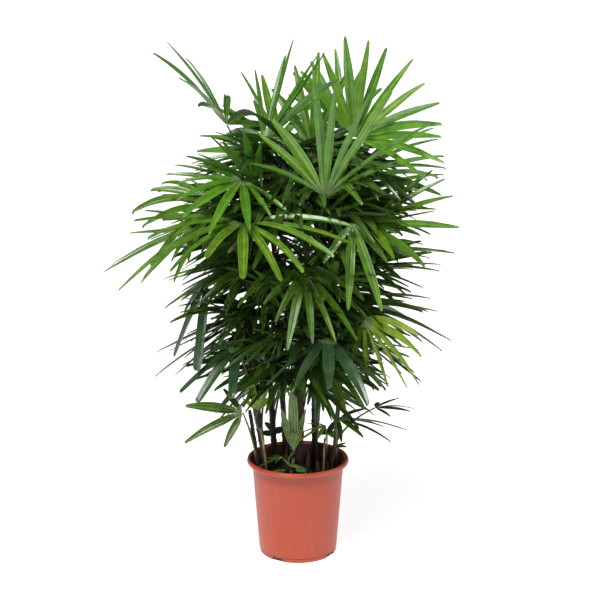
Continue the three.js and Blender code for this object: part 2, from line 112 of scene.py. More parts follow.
class Finish:
    """A material. Fixed values go straight on its sockets, and varying ones come as wires."""

    def __init__(self, name, colour, roughness):
        self.material = bpy.data.materials.new(name)
        self.material.use_nodes = True
        self.tree = self.material.node_tree
        self.shader = self.tree.nodes["Principled BSDF"]
        self.shader.inputs["Base Color"].default_value = (*colour, 1)
        self.shader.inputs["Roughness"].default_value = roughness

    def node(self, kind, settings, inputs, output=0):
        made = self.tree.nodes.new(kind)
        for name, value in settings.items():
            if name == "stops":
                for (at, shade), stop in zip(value, made.color_ramp.elements):
                    stop.position, stop.color = at, shade
            else:
                setattr(made, name, value)
        for name, value in inputs.items():
            if isinstance(value, Wire):
                self.tree.links.new(value.socket, made.inputs[name])
            else:
                made.inputs[name].default_value = value
        return Wire(self, made.outputs[output])

    def noise(self, scale, detail=3, stretch=(1, 1, 1)):
        place = self.node("ShaderNodeTexCoord", {}, {}, "Object")
        spread = self.node("ShaderNodeMapping", {}, {"Vector": place, "Scale": stretch})
        return self.node("ShaderNodeTexNoise", {}, {"Vector": spread, "Scale": scale, "Detail": detail})

    def steps(self, wire, low, high):
        settings = {"stops": [(low, (0, 0, 0, 1)), (high, (1, 1, 1, 1))]}
        return self.node("ShaderNodeValToRGB", settings, {"Fac": wire})

    def mix(self, factor, first, second):
        shades = [c if isinstance(c, Wire) else (*c, 1) for c in (first, second)]
        return self.node(
            "ShaderNodeMix", {"data_type": "RGBA"}, {0: factor, 6: shades[0], 7: shades[1]}, 2)

    def feed(self, socket, wire):
        self.tree.links.new(wire.socket, self.shader.inputs[socket])

    def relief(self, height, depth, strength=1.0):
        inputs = {"Height": height, "Distance": depth, "Strength": strength}
        self.feed("Normal", self.node("ShaderNodeBump", {}, inputs))


floor_mesh = bpy.data.meshes.new("floor")
floor_turns = np.linspace(0, 2 * math.pi, FLOOR["corners"], endpoint=False)
floor_edge = [(FLOOR["reach"] * math.cos(a), FLOOR["reach"] * math.sin(a), 0) for a in floor_turns]
floor_mesh.from_pydata(floor_edge, [], [range(FLOOR["corners"])])
floor = bpy.data.objects.new("floor", floor_mesh)
scene.collection.objects.link(floor)
floor_finish = Finish("floor_white", (0.42, 0.42, 0.42), 0.9)
floor_finish.shader.inputs["Emission Color"].default_value = (1, 1, 1, 1)
floor_finish.shader.inputs["Emission Strength"].default_value = 0.88
floor_mesh.materials.append(floor_finish.material)


# Pot: an injection-moulded polypropylene nursery pot, terracotta coloured with a satin skin. A
# rolled lip stiffens the rim, a band stands back at the foot, and notches there let water out.
POT = dict(height=230, foot=91, shoulder=106.5, rim=120, wall=2.2, floor=2.5, band=9, step=1.1)
LIP = dict(height=10.5, width=7, shoulder=5, start=25)
NOTCH = dict(width=28, height=7, depth=16, turns=(-88, -31, 57, 92, 149, -148), edge=1.5)
POT_SEGMENTS = 160
POT_ROUNDING = 2.4
# In metres, as materials and finished meshes have them. A ramp needs heights spread over 0 to 1.
# Painted shadow of the lip: the pot's colour darkens upward from low to high, and stops at ends, under
# the lip.
LIP_PAINTED_SHADOW = dict(low=0.1875, high=0.21875, ends=0.2193, spread=4)
# The pot's inside up to below, and the step above its foot band in seam, take soil stain with painted
# shade.
STAIN_AND_SHADE = dict(below=0.224, seam=(0.0087, 0.0105))


def vector(*numbers):
    return np.array(numbers, float)


def rounded(outline, reach, steps=4):
    """An outline whose corners are replaced by short arcs."""
    smooth = [vector(*outline[0])]
    for before, corner, after in zip(outline, outline[1:], outline[2:]):
        before, corner, after = vector(*before), vector(*corner), vector(*after)
        into, away = before - corner, after - corner
        near = min(reach, 0.45 * np.linalg.norm(into), 0.45 * np.linalg.norm(away))
        start = corner + into / np.linalg.norm(into) * near
        end = corner + away / np.linalg.norm(away) * near
        for t in np.linspace(0, 1, steps):
            smooth.append((1 - t) ** 2 * start + 2 * t * (1 - t) * corner + t ** 2 * end)
    return smooth + [vector(*outline[-1])]


def new_piece(name, mesh, finishes):
    """An object of the plant, with its finishes in order."""
    piece = bpy.data.objects.new(name, mesh)
    scene.collection.objects.link(piece)
    for finish in finishes:
        mesh.materials.append(finish.material)
    return piece


def cut_away(piece, cutter):
    """Takes the cutter's space out of the piece, and removes the cutter."""
    cut = piece.modifiers.new("cut", "BOOLEAN")
    cut.operation, cut.solver, cut.object = "DIFFERENCE", "EXACT", cutter
    depsgraph = bpy.context.evaluated_depsgraph_get()
    carved = bpy.data.meshes.new_from_object(piece.evaluated_get(depsgraph))
    piece.modifiers.clear()
    piece.data = carved
    bpy.data.objects.remove(cutter)


plastic = Finish("terracotta_plastic", (0.46, 0.080, 0.040), 0.42)
cloud = plastic.noise(9, 4)
grain = plastic.noise(900, 2)
scuff = plastic.steps(plastic.noise(60, 6, (1, 1, 0.25)), 0.56, 0.78)
pot_colour = plastic.mix(cloud, (0.395, 0.051, 0.019), (0.44, 0.065, 0.025))
here = plastic.node("ShaderNodeTexCoord", {}, {}, "Object")
above_floor = plastic.node("ShaderNodeSeparateXYZ", {}, {"Vector": here}, "Z")
spread = LIP_PAINTED_SHADOW["spread"]
# Painted shadow under the lip: the pot's colour darkens towards the underside of the lip.
painted_lip_shadow = plastic.steps(above_floor * spread, spread * LIP_PAINTED_SHADOW["low"], spread * LIP_PAINTED_SHADOW["high"])
painted_lip_shadow = painted_lip_shadow * (above_floor < LIP_PAINTED_SHADOW["ends"])
pot_colour = plastic.mix(painted_lip_shadow, pot_colour, (0.22, 0.026, 0.010))
plastic.feed("Base Color", plastic.mix(scuff * 0.22, pot_colour, (0.50, 0.13, 0.075)))
plastic.feed("Roughness", 0.36 + cloud * 0.12 + scuff * 0.10)
plastic.relief(grain, 0.00012, 0.35)
# Soil stain inside the pot, darkened further as painted shade in the pot's hollow and under the band's
# step.
stain_and_shade = Finish("soil_stain_and_painted_shade_plastic", (0.12, 0.036, 0.020), 0.75)
damp_soil_and_shade, dry_soil_and_shade = (0.045, 0.018, 0.011), (0.17, 0.045, 0.025)
stain_and_shade.feed("Base Color", stain_and_shade.mix(stain_and_shade.noise(30, 4), damp_soil_and_shade, dry_soil_and_shade))

wall_bottom = POT["foot"] + POT["step"] - POT["wall"]
wall_top = POT["shoulder"] + LIP["shoulder"]
lip_low = POT["height"] - LIP["height"]
shoulder_low = POT["height"] - LIP["start"]
pot_outline = rounded([
    (0.01, 0), (POT["foot"], 0), (POT["foot"], POT["band"]), (POT["foot"] + POT["step"], POT["band"] + 1),
    (POT["shoulder"], shoulder_low), (wall_top, lip_low - 2),
    (POT["rim"] - 1, lip_low), (POT["rim"], lip_low + 4), (POT["rim"] - 2.5, POT["height"]),
    (POT["rim"] - LIP["width"], POT["height"]), (POT["rim"] - LIP["width"] - 2.4, POT["height"] - 4),
    (wall_top - POT["wall"], lip_low - 1.5), (POT["shoulder"] - POT["wall"], shoulder_low),
    (wall_bottom, POT["floor"]), (0.01, POT["floor"]),
], POT_ROUNDING)
pot_bm = bmesh.new()
pot_rings = []
for radius, height in pot_outline:
    ring = []
    for a in np.linspace(0, 2 * math.pi, POT_SEGMENTS, endpoint=False):
        ring.append(pot_bm.verts.new((
            radius * math.cos(a) / 1000, radius * math.sin(a) / 1000, height / 1000)))
    pot_rings.append(ring)
for lower, upper in zip(pot_rings, pot_rings[1:]):
    for j in range(POT_SEGMENTS):
        k = (j + 1) % POT_SEGMENTS
        pot_bm.faces.new((lower[j], lower[k], upper[k], upper[j]))
bmesh.ops.remove_doubles(pot_bm, verts=pot_bm.verts, dist=2e-5)
bmesh.ops.recalc_face_normals(pot_bm, faces=pot_bm.faces)
pot_mesh = bpy.data.meshes.new("nursery_pot")
pot_bm.to_mesh(pot_mesh)
pot_bm.free()
pot = new_piece("nursery_pot", pot_mesh, [plastic, stain_and_shade])

notch_bm = bmesh.new()
for turn in NOTCH["turns"]:
    corners = bmesh.ops.create_cube(notch_bm, size=1)["verts"]
    grow = Matrix.Diagonal((NOTCH["width"] / 1000, NOTCH["depth"] / 1000, 2 * NOTCH["height"] / 1000, 1))
    move = Matrix.Translation((0, -POT["foot"] / 1000, 0))
    swing = Matrix.Rotation(math.radians(turn), 4, "Z")
    bmesh.ops.transform(notch_bm, matrix=swing @ move @ grow, verts=corners)
bmesh.ops.bevel(notch_bm, geom=list(notch_bm.edges), offset=NOTCH["edge"] / 1000, segments=3,
                affect="EDGES", profile=0.5)
notch_mesh = bpy.data.meshes.new("notch_cutter")
notch_bm.to_mesh(notch_mesh)
notch_bm.free()
cut_away(pot, new_piece("notch_cutter", notch_mesh, []))
# Faces inside the pot below the lip, and the step above the foot band, take the darker finish: soil stain
# with painted shade.
for face in pot.data.polygons:
    inward = face.center.x * face.normal.x + face.center.y * face.normal.y < 0
    on_seam = STAIN_AND_SHADE["seam"][0] < face.center.z < STAIN_AND_SHADE["seam"][1]
    if inward and face.center.z < STAIN_AND_SHADE["below"] or on_seam:
        face.material_index = 1
pot.data.shade_smooth()
pot.data.set_sharp_from_angle(angle=math.radians(38))
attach(pot, "root")
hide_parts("pot")


# Soil: dark peat-based potting mix that fills the pot to 35 mm under its lip, with crumbs of
# peat and bark on top. It settles a little lower round the wall than among the canes.
SOIL_TOP = 195
SOIL_EDGE = 103.2
SOIL_FOOT = 88
SOIL_BASE = 0.6
CRUMBS = 1500
rng = np.random.default_rng(24)


def joined_mesh(name, parts):
    """One mesh from many (points, faces, material numbers), points in millimetres."""
    points, faces, numbers, sizes, first = [], [], [], [], 0
    for part_points, part_faces, part_numbers in parts:
        points.append(np.asarray(part_points, float).reshape(-1, 3))
        part_faces = np.asarray(part_faces)
        faces.append((part_faces + first).ravel())
        sizes.append(np.full(len(part_faces), part_faces.shape[1]))
        numbers.append(np.broadcast_to(part_numbers, len(part_faces)))
        first += len(points[-1])
    points, faces, sizes = np.concatenate(points), np.concatenate(faces), np.concatenate(sizes)
    mesh = bpy.data.meshes.new(name)
    mesh.vertices.add(len(points))
    mesh.vertices.foreach_set("co", (points / 1000).astype(np.float32).ravel())
    mesh.loops.add(len(faces))
    mesh.loops.foreach_set("vertex_index", faces.astype(np.int32))
    mesh.polygons.add(len(sizes))
    mesh.polygons.foreach_set("loop_start", (np.cumsum(sizes) - sizes).astype(np.int32))
    mesh.polygons.foreach_set("material_index", np.concatenate(numbers).astype(np.int32))
    mesh.update(calc_edges=True)
    mesh.shade_smooth()
    return mesh


def grid_faces(rows, columns, closed=False):
    """The four-sided faces of a grid of points, closed round its columns or not."""
    r, c = np.meshgrid(np.arange(rows - 1), np.arange(columns if closed else columns - 1), indexing="ij")
    after = (c + 1) % columns
    corners = [r * columns + c, r * columns + after, (r + 1) * columns + after, (r + 1) * columns + c]
    return np.stack(corners, axis=-1).reshape(-1, 4)


peat = Finish("potting_mix", (0.012, 0.008, 0.006), 0.95)
clods = peat.noise(220, 5)
dark_peat, brown_peat = (0.006, 0.004, 0.003), (0.030, 0.018, 0.011)
peat.feed("Base Color", peat.mix(peat.steps(clods, 0.4, 0.7), dark_peat, brown_peat))
peat.relief(clods, 0.0015)
bark_bit = Finish("bark_bit", (0.036, 0.021, 0.013), 0.9)
bark_bit.relief(bark_bit.noise(400, 3), 0.0006)

reaches = np.concatenate([np.linspace(0.5, SOIL_EDGE, 60), [SOIL_EDGE - 0.4, SOIL_FOOT, 0.5]])
turns = np.linspace(0, 2 * math.pi, 150, endpoint=False)
soil_x, soil_y = np.outer(reaches, np.cos(turns)), np.outer(reaches, np.sin(turns))
lumps = 1.6 * np.sin(soil_x / 7.1 + 1) * np.cos(soil_y / 6.3) + 1.1 * np.sin(soil_x / 3.1 - soil_y / 2.7)
settled = 3 * (reaches[:, None] / SOIL_EDGE) ** 6
soil_z = SOIL_TOP - 1.5 + lumps + rng.normal(0, 0.7, lumps.shape) - settled
soil_z[0] = soil_z[0].mean()
soil_z[-3] -= 4
soil_z[-2:] = SOIL_BASE
soil = new_piece("potting_soil", joined_mesh("potting_soil", [
    (np.stack([soil_x, soil_y, soil_z], axis=-1), grid_faces(len(reaches), len(turns), closed=True), 0),
]), [peat])
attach(soil, "root")
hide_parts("soil")

LUMP = np.array([(1, 0, 0), (-1, 0, 0), (0, 1, 0), (0, -1, 0), (0, 0, 1), (0, 0, -1)], float)
LUMP_FACES = [(0, 2, 4), (2, 1, 4), (1, 3, 4), (3, 0, 4), (2, 0, 5), (1, 2, 5), (3, 1, 5), (0, 3, 5)]
crumbs = []
for _ in range(CRUMBS):
    reach, turn = (SOIL_EDGE - 5) * math.sqrt(rng.random()), rng.uniform(0, 2 * math.pi)
    place = vector(reach * math.cos(turn), reach * math.sin(turn), SOIL_TOP + rng.uniform(-2.5, 1.5))
    size = rng.uniform(1.2, 3.4) * rng.uniform(0.5, 1.3, 3)
    shape = (LUMP + rng.normal(0, 0.22, LUMP.shape)) * size
    tumbled = shape @ np.array(Matrix.Rotation(turn * 3, 3, "Z"))
    crumbs.append((tumbled + place, LUMP_FACES, int(rng.random() < 0.35)))
soil_crumbs = new_piece("soil_crumbs", joined_mesh("soil_crumbs", crumbs), [peat, bark_bit])
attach(soil_crumbs, "root")


# Canes: the palm's thin stems. Old leaf sheaths wrap them in coarse dark brown fibre, one sleeve
# above another, each a little wider at its mouth. Young canes are smooth green with pale rings.
CANE = dict(sides=20, taper=0.3, step=3.2)
SLEEVE = dict(long=21, by_radius=1.2, slant=0.28, shift=7, waist=0.86, flare=0.20, frill=0.035)
RING = dict(apart=34, shift=9, narrow=0.035, waist=0.92, swell=0.13)
# Each cane has a foot, a bend and a top, then its radius and its skin.
CANES = {
    "edge": ((-91, -22), (-100, -22, 270), (-112, -18, 350), 6, "fibre"),
    "left": ((-75, 4), (-100, 16, 350), (-142, 30, 560), 6.5, "fibre"),
    "tall": ((-72, -42), (-104, -22, 420), (-124, 8, 800), 6, "fibre"),
    "shade": ((-55, 50), (-68, 50, 480), (-100, 62, 880), 7.5, "fibre"),
    "main": ((-4, -20), (-4, -22, 500), (72, -30, 830), 17, "fibre"),
    "inner": ((42, 40), (30, 44, 450), (62, 66, 850), 7.5, "fibre"),
    "right": ((86, 10), (92, 12, 400), (128, 18, 640), 6.5, "reed"),
    "backLeft": ((-30, 84), (-40, 112, 450), (-62, 150, 820), 7, "fibre"),
    "backRight": ((38, 86), (60, 118, 420), (80, 160, 760), 7, "reed"),
    "shootLeft": ((-70, -62), (-76, -62, 270), (-86, -62, 322), 3, "shoot"),
    "shootFront": ((-16, -62), (-14, -58, 220), (-10, -54, 244), 5, "shoot"),
    "shootRight": ((60, -44), (60, -43, 250), (62, -42, 290), 3, "shoot"),
}


def bezier(start, bend, end, t):
    """Points of a curve of three points at each t, and the directions there."""
    t = np.asarray(t, float)[..., None]
    place = (1 - t) ** 2 * start + 2 * t * (1 - t) * bend + t ** 2 * end
    ahead = 2 * (1 - t) * (bend - start) + 2 * t * (end - bend)
    return place, ahead / np.linalg.norm(ahead, axis=-1, keepdims=True)


def tube(places, aheads, radii, sides):
    """Rings of points round a line. A radius is one number a ring or one a point."""
    east = vector(1, 0, 0) - aheads * aheads[:, :1]
    east /= np.linalg.norm(east, axis=1, keepdims=True)
    north = np.cross(aheads, east)
    around = np.linspace(0, 2 * math.pi, sides, endpoint=False)
    radii = np.broadcast_to(np.asarray(radii).reshape(len(places), -1), (len(places), sides))
    out = east[:, None] * np.cos(around)[:, None] + north[:, None] * np.sin(around)[:, None]
    return places[:, None] + out * radii[..., None]


def cane_line(name):
    """The foot, bend and top of a cane."""
    foot, bend, top, _, _ = CANES[name]
    return vector(*foot, SOIL_TOP + 0.3), vector(*bend), vector(*top)


fibre = Finish("sheath_fibre", (0.05, 0.03, 0.02), 0.85)
strands = fibre.noise(90, 5, (6, 6, 0.45))
patches = fibre.noise(14, 3)
rust = fibre.mix(fibre.steps(patches, 0.42, 0.66), (0.012, 0.008, 0.005), (0.070, 0.031, 0.015))
fibre.feed("Base Color", fibre.mix(fibre.steps(strands, 0.35, 0.72), (0.009, 0.006, 0.005), rust))
fibre.relief(strands, 0.0022)
reed = Finish("green_cane", (0.050, 0.060, 0.020), 0.45)
reed_streaks = reed.noise(60, 3, (4, 4, 0.5))
reed.feed("Base Color", reed.mix(reed_streaks, (0.020, 0.022, 0.009), (0.078, 0.068, 0.024)))
reed.relief(reed_streaks, 0.0006)
shoot = Finish("young_shoot", (0.23, 0.20, 0.07), 0.45)
shoot_streaks = shoot.noise(70, 3, (3, 3, 0.6))
shoot_brown, shoot_green = (0.110, 0.046, 0.018), (0.27, 0.23, 0.065)
shoot.feed("Base Color", shoot.mix(shoot.steps(shoot_streaks, 0.4, 0.7), shoot_brown, shoot_green))
shoot.relief(shoot_streaks, 0.0005)
SKINS = {"fibre": fibre, "reed": reed, "shoot": shoot}

for number, (name, (_, _, _, radius, skin)) in enumerate(CANES.items()):
    start, bend, end = cane_line(name)
    rows = int(np.linalg.norm(end - start) / CANE["step"]) + 2
    t = np.linspace(0, 1, rows)
    places, aheads = bezier(start, bend, end, t)
    climb = t * np.linalg.norm(end - start)
    around = np.linspace(0, 2 * math.pi, CANE["sides"], endpoint=False)
    girth = radius * (1 - CANE["taper"] * t)
    if skin == "fibre":
        sleeve = SLEEVE["long"] + SLEEVE["by_radius"] * radius
        slant = SLEEVE["slant"] * sleeve * np.sin(around + number)
        rise = (climb[:, None] + slant + SLEEVE["shift"] * number) / sleeve
        mouth = rise - np.floor(rise)
        frill = SLEEVE["frill"] * np.sin(5 * around + 3 * np.floor(rise))
        flare = SLEEVE["waist"] + SLEEVE["flare"] * mouth ** 2 + frill
        coarse = rng.normal(0, 0.035, CANE["sides"]) + rng.normal(0, 0.02, (rows, CANE["sides"]))
        radii = girth[:, None] * (flare + coarse)
    else:
        joint = np.abs(((climb + RING["shift"] * number) / RING["apart"]) % 1 - 0.5)
        radii = girth * (RING["waist"] + RING["swell"] * np.exp(-(joint / RING["narrow"]) ** 2))
    cane_tube = tube(places, aheads, radii, CANE["sides"])
    cane_tube = np.concatenate([np.broadcast_to(start - (0, 0, 3), (1, CANE["sides"], 3)), cane_tube,
                                np.broadcast_to(end, (1, CANE["sides"], 3))])
    cane = new_piece("cane_skin_" + name, joined_mesh("cane_skin_" + name, [
        (cane_tube, grid_faces(rows + 2, CANE["sides"], closed=True), 0)]), [SKINS[skin]])
    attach(cane, "root")
    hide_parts("cane_" + name)


# Fibres: coarse hairs and torn strips of old sheath that stand off the fibrous canes, strewn
# along them. They are the same brown net that wraps the cane, frayed with age.
FIBRES_PER_MM = 0.55
HAIR = dict(rows=5, sides=3, rusty=0.4)
fringe = []
hair_faces = grid_faces(HAIR["rows"], HAIR["sides"], closed=True)
for name, (_, _, _, radius, skin) in CANES.items():
    if skin != "fibre":
        continue
    start, bend, end = cane_line(name)
    for _ in range(int(FIBRES_PER_MM * np.linalg.norm(end - start) * math.sqrt(radius / 6))):
        t = rng.uniform(0.01, 0.97)
        place, ahead = bezier(start, bend, end, t)
        turn = rng.uniform(0, 2 * math.pi)
        out = vector(math.cos(turn), math.sin(turn), 0)
        side = np.cross(ahead, out)
        long = rng.uniform(6, 18) * rng.choice([1, 1, 1, 1.5])
        lean = rng.uniform(0.08, 0.38)
        root = place + out * radius * (1 - CANE["taper"] * t) * 0.85
        u = np.linspace(0, 1, HAIR["rows"])[:, None]
        drift = side * long * rng.uniform(-0.3, 0.3)
        line = root + ahead * long * u + out * long * lean * u ** 1.6 + drift * u ** 2
        aheads = np.gradient(line, axis=0)
        aheads /= np.linalg.norm(aheads, axis=1, keepdims=True)
        thick = rng.uniform(0.25, 0.75) * (1 - 0.75 * u[:, 0])
        hair = tube(line, aheads, thick, HAIR["sides"])
        fringe.append((hair, hair_faces, int(rng.random() < HAIR["rusty"])))
rust_fibre = Finish("rusty_fibre", (0.115, 0.052, 0.026), 0.8)
rust_fibre.relief(rust_fibre.noise(500, 2), 0.0003)
fibres = new_piece("sheath_fibres", joined_mesh("sheath_fibres", fringe), [fibre, rust_fibre])
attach(fibres, "root")


# Fans: each frond is a fan of narrow pleated leaflets that part almost at the hub. They grow by
# the source's rule: the same hubs, turns, lengths and droop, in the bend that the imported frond
# took. Here each is a ribbed blade that folds along its rib and ends in a short toothed edge.
LEAFLET = dict(wide=22, droop=0.22, shorter=0.45, keel=0.013, throat=0.07, tip=0.3)
BLADE = dict(across=8, along=15, fold=2.2, ridge=0.42, teeth=5.5, wave=0.008, curl=9, opens=0.16)
HIDDEN = dict(count=15, low=430, step=38, widest=780, fall=420, behind=70, sweep=78, reach=60, fuller=90,
              long=190, longer=70, rise=-35, climb=0.14,
              right=("backRight", "inner"), left=("backLeft", "shade"))
INNER = dict(count=12, partner=3, lower=30, sweep=130, fork=0.25)
SPIRAL = 2.4
# The source's rows, but for slim, point and shade, which only dress the leaflets here.
FRONT = [
    dict(cane="shade", hub=(-161, 60, 1003), aim=150, rise=35, roll=15, count=8, spread=184, long=301,
         shorter=0, droop=0.38, cup=18, shade=4),
    dict(cane="shade", hub=(-73, -20, 972), aim=58, rise=58, roll=-28, count=10, spread=142, long=279,
         shorter=0, droop=0.26, cup=5, shade=4),
    dict(cane="inner", hub=(32, 70, 945), aim=75, rise=75, count=9, spread=140, long=235),
    dict(cane="main", hub=(59, -110, 865), aim=-14, rise=20, roll=-37, count=15, spread=258, long=341,
         peak=43, shorter=0.17, droop=0.31, cup=32),
    dict(cane="inner", hub=(129, 40, 974), aim=31, rise=32, roll=37, count=12, spread=168, long=242,
         peak=-33, shorter=0.03, cup=25),
    dict(cane="inner", hub=(104, 130, 985), aim=115, rise=60, count=8, spread=130, long=240),
    dict(cane="inner", hub=(96, 0, 800), aim=20, rise=30, roll=20, count=10, spread=170, long=230),
    dict(cane="main", hub=(156, -60, 792), aim=-18, rise=16, roll=25, count=8, spread=116, long=245,
         shorter=0.1, droop=0.17, cup=10),
    dict(cane="right", hub=(132, 40, 671), aim=10, rise=14, roll=10, count=10, spread=130, long=220),
    dict(cane="right", hub=(139, 10, 595), aim=-8, rise=-4, roll=-30, count=10, spread=120, long=220),
    dict(cane="main", hub=(148, -90, 587), aim=-62, rise=-61, roll=82, count=8, spread=160, long=180,
         shorter=0.1, peak=28, droop=0.3, cup=-18),
    dict(cane="main", hub=(68, -90, 543), aim=-91, rise=8, roll=-7, count=7, spread=167, long=186,
         shorter=0.16, droop=0.27, cup=-22, wide=32),
    dict(cane="tall", hub=(-119, -130, 811), aim=-90, rise=-16, count=11, spread=170, long=275,
         shorter=0.1, droop=0.27, cup=14, tip=0.6),
    dict(cane="tall", hub=(-182, -40, 829), aim=204, rise=38, roll=-45, count=7, spread=130, long=215,
         shorter=0.1, peak=-40, droop=0.48, cup=-20),
    dict(cane="shade", hub=(-234, 20, 775), aim=190, rise=-22, roll=-10, count=9, spread=150, long=215),
    dict(cane="tall", hub=(-93, -20, 871), aim=199, rise=22, roll=30, count=10, spread=130, long=195,
         shorter=0.08, peak=40, droop=0.28, cup=15, shade=4),
    dict(cane="shade", hub=(-112, 10, 813), aim=195, rise=12, roll=-8, count=10, spread=140, long=195),
    dict(cane="left", hub=(-128, -42, 583), aim=190, rise=20, count=8, spread=160, long=150),
    dict(cane="left", hub=(-205, 0, 668), aim=205, rise=-72, count=4, spread=64, long=220, wide=52,
         tip=0.75),
    dict(cane="left", hub=(-139, -40, 511), aim=230, rise=-30, count=5, spread=170, long=170, wide=34,
         tip=0.6),
    dict(cane="tall", hub=(-36, -80, 548), aim=205, rise=-12, count=8, spread=120, long=158),
    dict(cane="edge", hub=(-127, -40, 351), aim=190, rise=4, roll=-60, count=4, spread=110, long=155,
         wide=40, tip=0.6, slim=0.72, point=0.3),
    dict(cane="shootLeft", hub=(-91, -60, 362), aim=100, rise=70, count=4, spread=80, long=100, drop=50),
    dict(cane="shootFront", hub=(-9, -50, 258), aim=100, rise=80, count=3, spread=32, long=195, wide=34,
         drop=36, slim=0.74, point=0.12, shade=4),
    dict(cane="shootRight", hub=(63, -40, 321), aim=200, rise=-9, count=4, spread=110, long=110, drop=40),
    dict(cane="right", hub=(93, -20, 329), aim=-5, rise=5, count=7, spread=160, long=160, drop=70),
    dict(cane="right", hub=(180, 0, 350), aim=10, rise=10, count=5, spread=120, long=100, drop=90),
    dict(cane="shootFront", hub=(-36, -66, 252), aim=190, rise=0, count=4, spread=110, long=64, drop=32),
    dict(cane="main", hub=(120, -100, 807), aim=-80, rise=-62, count=4, spread=80, long=195),
    dict(cane="main", hub=(14, -70, 696), aim=-65, rise=-50, count=10, spread=170, long=180),
    dict(cane="shade", hub=(-30, -20, 706), aim=-130, rise=-10, count=11, spread=200, long=190),
]
TINTS = {"young": (11, 23, 25), "blue": (12, 19, 20), "bright_above": 850, "mid_above": 620}
Z = vector(0, 0, 1)


def pick(low, high, a, b):
    """A repeatable number from low to high for item b of group a."""
    wave = math.sin(a * 12.9898 + b * 78.233) * 43758.5453
    return low + (high - low) * (wave - math.floor(wave))


def hidden_fronds():
    """Fronds of the far side, by the source's rule."""
    for i in range(HIDDEN["count"]):
        height = HIDDEN["low"] + HIDDEN["step"] * i
        fullness = 1 - ((height - HIDDEN["widest"]) / HIDDEN["fall"]) ** 2
        aim = 90 + HIDDEN["sweep"] * math.sin(SPIRAL * i + 0.6)
        reach = (HIDDEN["reach"] + HIDDEN["fuller"] * fullness) * pick(0.8, 1.2, i, 51)
        turn = math.radians(aim)
        yield dict(
            cane=HIDDEN["right" if aim < 90 else "left"][i % 2],
            hub=(reach * math.cos(turn), HIDDEN["behind"] + reach * math.sin(turn), height),
            aim=aim, rise=HIDDEN["rise"] + HIDDEN["climb"] * (height - HIDDEN["low"]),
            roll=pick(-25, 25, i, 52), count=10, spread=pick(150, 230, i, 53),
            long=(HIDDEN["long"] + HIDDEN["longer"] * fullness) * pick(0.9, 1.1, i, 54))


def fan_frame(frond):
    """The directions of a fan: its middle leaflet, its left side and its upper face."""
    aim, rise, roll = (math.radians(frond.get(key, 0)) for key in ("aim", "rise", "roll"))
    out = vector(math.cos(rise) * math.cos(aim), math.cos(rise) * math.sin(aim), math.sin(rise))
    flat = vector(-math.sin(aim), math.cos(aim), 0)
    side = flat * math.cos(roll) + np.cross(out, flat) * math.sin(roll)
    return out, side, np.cross(out, side)


def fan_direction(frond, turn, lift):
    """The direction `turn` degrees round a fan, lifted off its plane by `lift` degrees."""
    out, side, face = fan_frame(frond)
    turn, lift = math.radians(turn), math.radians(lift)
    return math.cos(lift) * (math.cos(turn) * out + math.sin(turn) * side) + math.sin(lift) * face


def fan_step(frond):
    return frond["spread"] / (frond["count"] - 1)


def leaflet_plan(frond, seed, k, bend):
    """How leaflet k grows under a bend: direction, length, width, droop and twist."""
    step = fan_step(frond)
    middle = (k - (frond["count"] - 1) / 2) * step
    turn = middle + pick(-0.16, 0.16, seed, k) * step + bend[0]
    off = 2 * (middle - frond.get("peak", 0)) / frond["spread"]
    outer = frond.get("shorter", LEAFLET["shorter"]) * off ** 2
    long = frond["long"] * bend[2] * (1 - outer) * pick(0.88, 1.06, seed, k + 20)
    direction = fan_direction(frond, turn, frond.get("cup", 0) + pick(-4, 8, seed, k + 40) + bend[1])
    droop = frond.get("droop", LEAFLET["droop"]) * pick(0.7, 1.3, seed, k + 80)
    wide = frond.get("wide", LEAFLET["wide"]) * pick(0.85, 1.15, seed, k + 60) * min(1, 0.4 + long / 400)
    return dict(direction=direction, long=long, wide=wide, fall=droop * math.hypot(*direction[:2]),
                twist=pick(-26, 26, seed, k + 100))


def turned_about(direction, angle, what):
    """A direction turned about another, in degrees."""
    a = math.radians(angle)
    along = direction * (direction @ what)
    return along + (what - along) * math.cos(a) + np.cross(direction, what) * math.sin(a)


def leaflet_line(frond, plan, t, twist):
    """Centre, and directions across and up, at t along a leaflet."""
    long, fall, direction = plan["long"], plan["fall"], plan["direction"]
    centre = vector(*frond["hub"]) + direction * long * t - Z * long * fall * t * t
    ahead = direction - Z * 2 * fall * t
    ahead /= np.linalg.norm(ahead)
    up = turned_about(direction, twist * math.sqrt(t), fan_frame(frond)[2])
    up -= ahead * (ahead @ up)
    up /= np.linalg.norm(up)
    return centre, np.cross(ahead, up), up


def fold_point(frond, k):
    """The fold between leaflet k and the one before it, at the rim of the throat."""
    along = fan_direction(frond, (k - frond["count"] / 2) * fan_step(frond), frond.get("cup", 0) + 2)
    return vector(*frond["hub"]) + along * LEAFLET["throat"] * frond["long"]


LEAFLET_BENDS = [(turn, lift, long) for long in (1, 0.85, 0.7, 0.55) for turn, lift in (
    (0, 0), (4, 0), (-4, 0), (0, 8), (0, -8), (5, 7), (-5, 7), (5, -8), (-5, -8))]
FOUND_WITHIN = 0.6
PETIOLE = dict(drop=190, clear_of_tip=14, clear_of_soil=25, bend_at=0.35, arch=0.22,
               of_cane=0.5, packed_root=3.4, packed_tip=2.4)
SWAYS = (0, 20, -20, 40, -40, 65, -65, 95, -95, 130, -130)


def petiole_root(frond):
    """The point in the middle of its cane that a petiole grows from."""
    line = cane_line(frond["cane"])
    wanted = frond["hub"][2] - frond.get("drop", PETIOLE["drop"])
    height = max(min(wanted, line[2][2] - PETIOLE["clear_of_tip"]), SOIL_TOP + PETIOLE["clear_of_soil"])
    along, _ = bezier(*line, np.linspace(0, 1, 201))
    return along[np.argmax(along[:, 2] >= height)]


